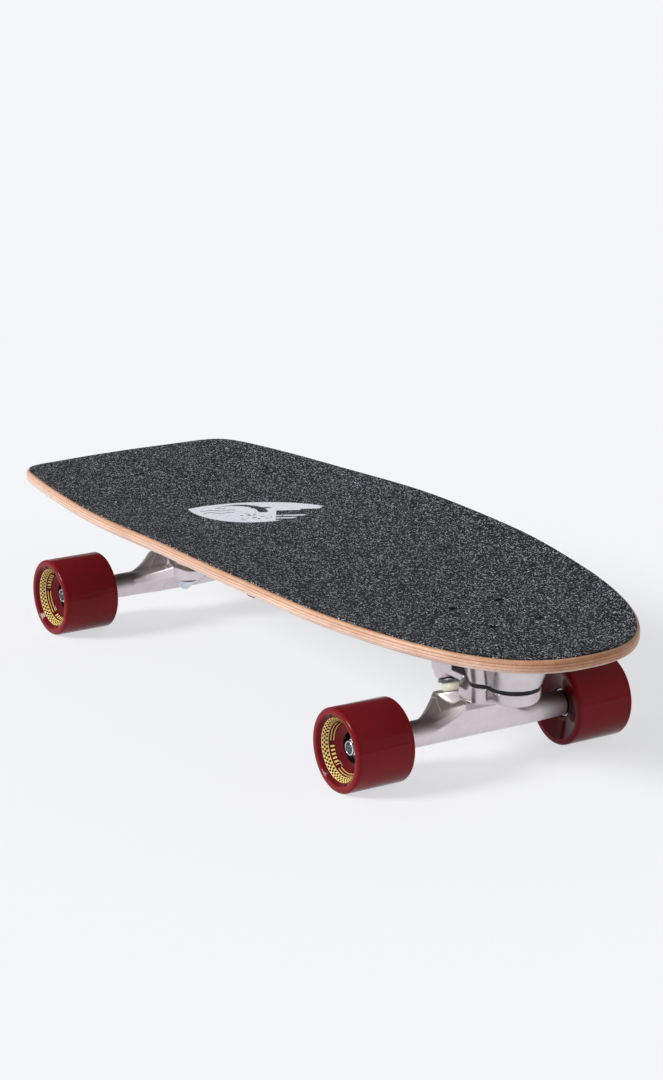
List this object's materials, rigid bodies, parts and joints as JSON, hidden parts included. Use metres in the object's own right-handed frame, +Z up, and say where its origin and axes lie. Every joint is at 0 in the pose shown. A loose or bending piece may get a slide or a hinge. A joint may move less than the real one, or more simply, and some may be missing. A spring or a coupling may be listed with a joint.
{
  "type": "surf skateboard",
  "caption": "Surf skateboard with a concave maple deck, charcoal grip, swivelling sprung front truck, plain rear truck and burgundy wheels",
  "frame": {"origin": "on the ground under mid-length, on the centreline", "axes": "+X to the nose with the swivelling truck, +Y to the rider's left when facing the nose, +Z up"},
  "size_m": [0.73, 0.269, 0.1364],
  "materials": {
    "maple_plies": "clear-lacquered seven-ply maple, orange-brown top ply, alternating pale ply edges",
    "grip_mineral": "charcoal mineral grip tape, coarse and matt",
    "cast_aluminium": "satin sand-cast aluminium alloy",
    "black_polymer": "black moulded polymer",
    "wheel_urethane": "deep burgundy cast urethane, glossy, with a printed gold ring",
    "bushing_urethane": "ivory urethane",
    "dark_steel": "dark oxide steel",
    "zinc_steel": "bright zinc-plated steel",
    "black_steel": "black oxide steel screws",
    "bearing_steel": "ground bearing steel with black shields"
  },
  "bodies": {
    "board": {"deck": "maple_plies", "grip_tape": "grip_mineral", "front_pad": "black_polymer", "rear_riser": "black_polymer", "front_deck_bolt_tail_right": "black_steel", "front_deck_bolt_tail_left": "black_steel", "front_deck_bolt_nose_right": "black_steel", "front_deck_bolt_nose_left": "black_steel", "rear_deck_bolt_tail_right": "black_steel", "rear_deck_bolt_tail_left": "black_steel", "rear_deck_bolt_nose_right": "black_steel", "rear_deck_bolt_nose_left": "black_steel", "front_housing": "cast_aluminium", "swivel_seal": "black_polymer", "swivel_shaft": "zinc_steel", "swivel_shaft_nut": "zinc_steel", "swivel_bearing_lower": "bearing_steel", "swivel_bearing_upper": "bearing_steel", "return_spring": "zinc_steel", "rear_baseplate": "cast_aluminium", "rear_kingpin": "zinc_steel", "rear_kingpin_nut": "zinc_steel", "rear_bushing_top": "bushing_urethane", "rear_bushing_bottom": "bushing_urethane", "rear_cup_washer_top": "dark_steel", "rear_washer_bottom": "dark_steel", "rear_pivot_cup": "black_polymer"},
    "front_arm": {"swivel_arm": "cast_aluminium", "front_kingpin": "zinc_steel", "front_kingpin_nut": "zinc_steel", "front_bushing_top": "bushing_urethane", "front_bushing_bottom": "bushing_urethane", "front_cup_washer_top": "dark_steel", "front_washer_bottom": "dark_steel", "front_pivot_cup": "black_polymer"},
    "front_hanger_body": {"front_hanger": "cast_aluminium", "front_axle": "zinc_steel", "front_axle_nut_left": "zinc_steel", "front_axle_nut_right": "zinc_steel", "front_bearing_spacer_left": "zinc_steel", "front_bearing_spacer_right": "zinc_steel"},
    "front_wheel_left_body": {"front_wheel_left": "wheel_urethane", "front_bearing_inner_left": "bearing_steel", "front_bearing_outer_left": "bearing_steel"},
    "front_wheel_right_body": {"front_wheel_right": "wheel_urethane", "front_bearing_inner_right": "bearing_steel", "front_bearing_outer_right": "bearing_steel"},
    "rear_hanger_body": {"rear_hanger": "cast_aluminium", "rear_axle": "zinc_steel", "rear_axle_nut_left": "zinc_steel", "rear_axle_nut_right": "zinc_steel", "rear_bearing_spacer_left": "zinc_steel", "rear_bearing_spacer_right": "zinc_steel"},
    "rear_wheel_left_body": {"rear_wheel_left": "wheel_urethane", "rear_bearing_inner_left": "bearing_steel", "rear_bearing_outer_left": "bearing_steel"},
    "rear_wheel_right_body": {"rear_wheel_right": "wheel_urethane", "rear_bearing_inner_right": "bearing_steel", "rear_bearing_outer_right": "bearing_steel"}
  },
  "joints": [
    {"name": "front_swing", "type": "hinge", "parent": "board", "child": "front_arm", "pos_m": [0.269, 0, 0.0756], "axis": [0, 0, 1], "range_deg": [-40, 40], "stiffness_Nm_per_rad": 2.5, "deforming": ["return_spring"]},
    {"name": "front_tilt", "type": "hinge", "parent": "front_arm", "child": "front_hanger_body", "pos_m": [0.195, 0, 0.0505], "axis": [0.9511, 0, 0.309], "range_deg": [-15, 15], "stiffness_Nm_per_rad": 12, "deforming": ["front_bushing_top", "front_bushing_bottom"]},
    {"name": "rear_tilt", "type": "hinge", "parent": "board", "child": "rear_hanger_body", "pos_m": [-0.23, 0, 0.0505], "axis": [-0.9511, 0, 0.309], "range_deg": [-15, 15], "stiffness_Nm_per_rad": 12, "deforming": ["rear_bushing_top", "rear_bushing_bottom"]},
    {"name": "front_spin_left", "type": "hinge", "parent": "front_hanger_body", "child": "front_wheel_left_body", "pos_m": [0.217, 0, 0.033], "axis": [0, 1, 0], "continuous": true},
    {"name": "front_spin_right", "type": "hinge", "parent": "front_hanger_body", "child": "front_wheel_right_body", "pos_m": [0.217, 0, 0.033], "axis": [0, 1, 0], "continuous": true},
    {"name": "rear_spin_left", "type": "hinge", "parent": "rear_hanger_body", "child": "rear_wheel_left_body", "pos_m": [-0.252, 0, 0.033], "axis": [0, 1, 0], "continuous": true},
    {"name": "rear_spin_right", "type": "hinge", "parent": "rear_hanger_body", "child": "rear_wheel_right_body", "pos_m": [-0.252, 0, 0.033], "axis": [0, 1, 0], "continuous": true}
  ]
}
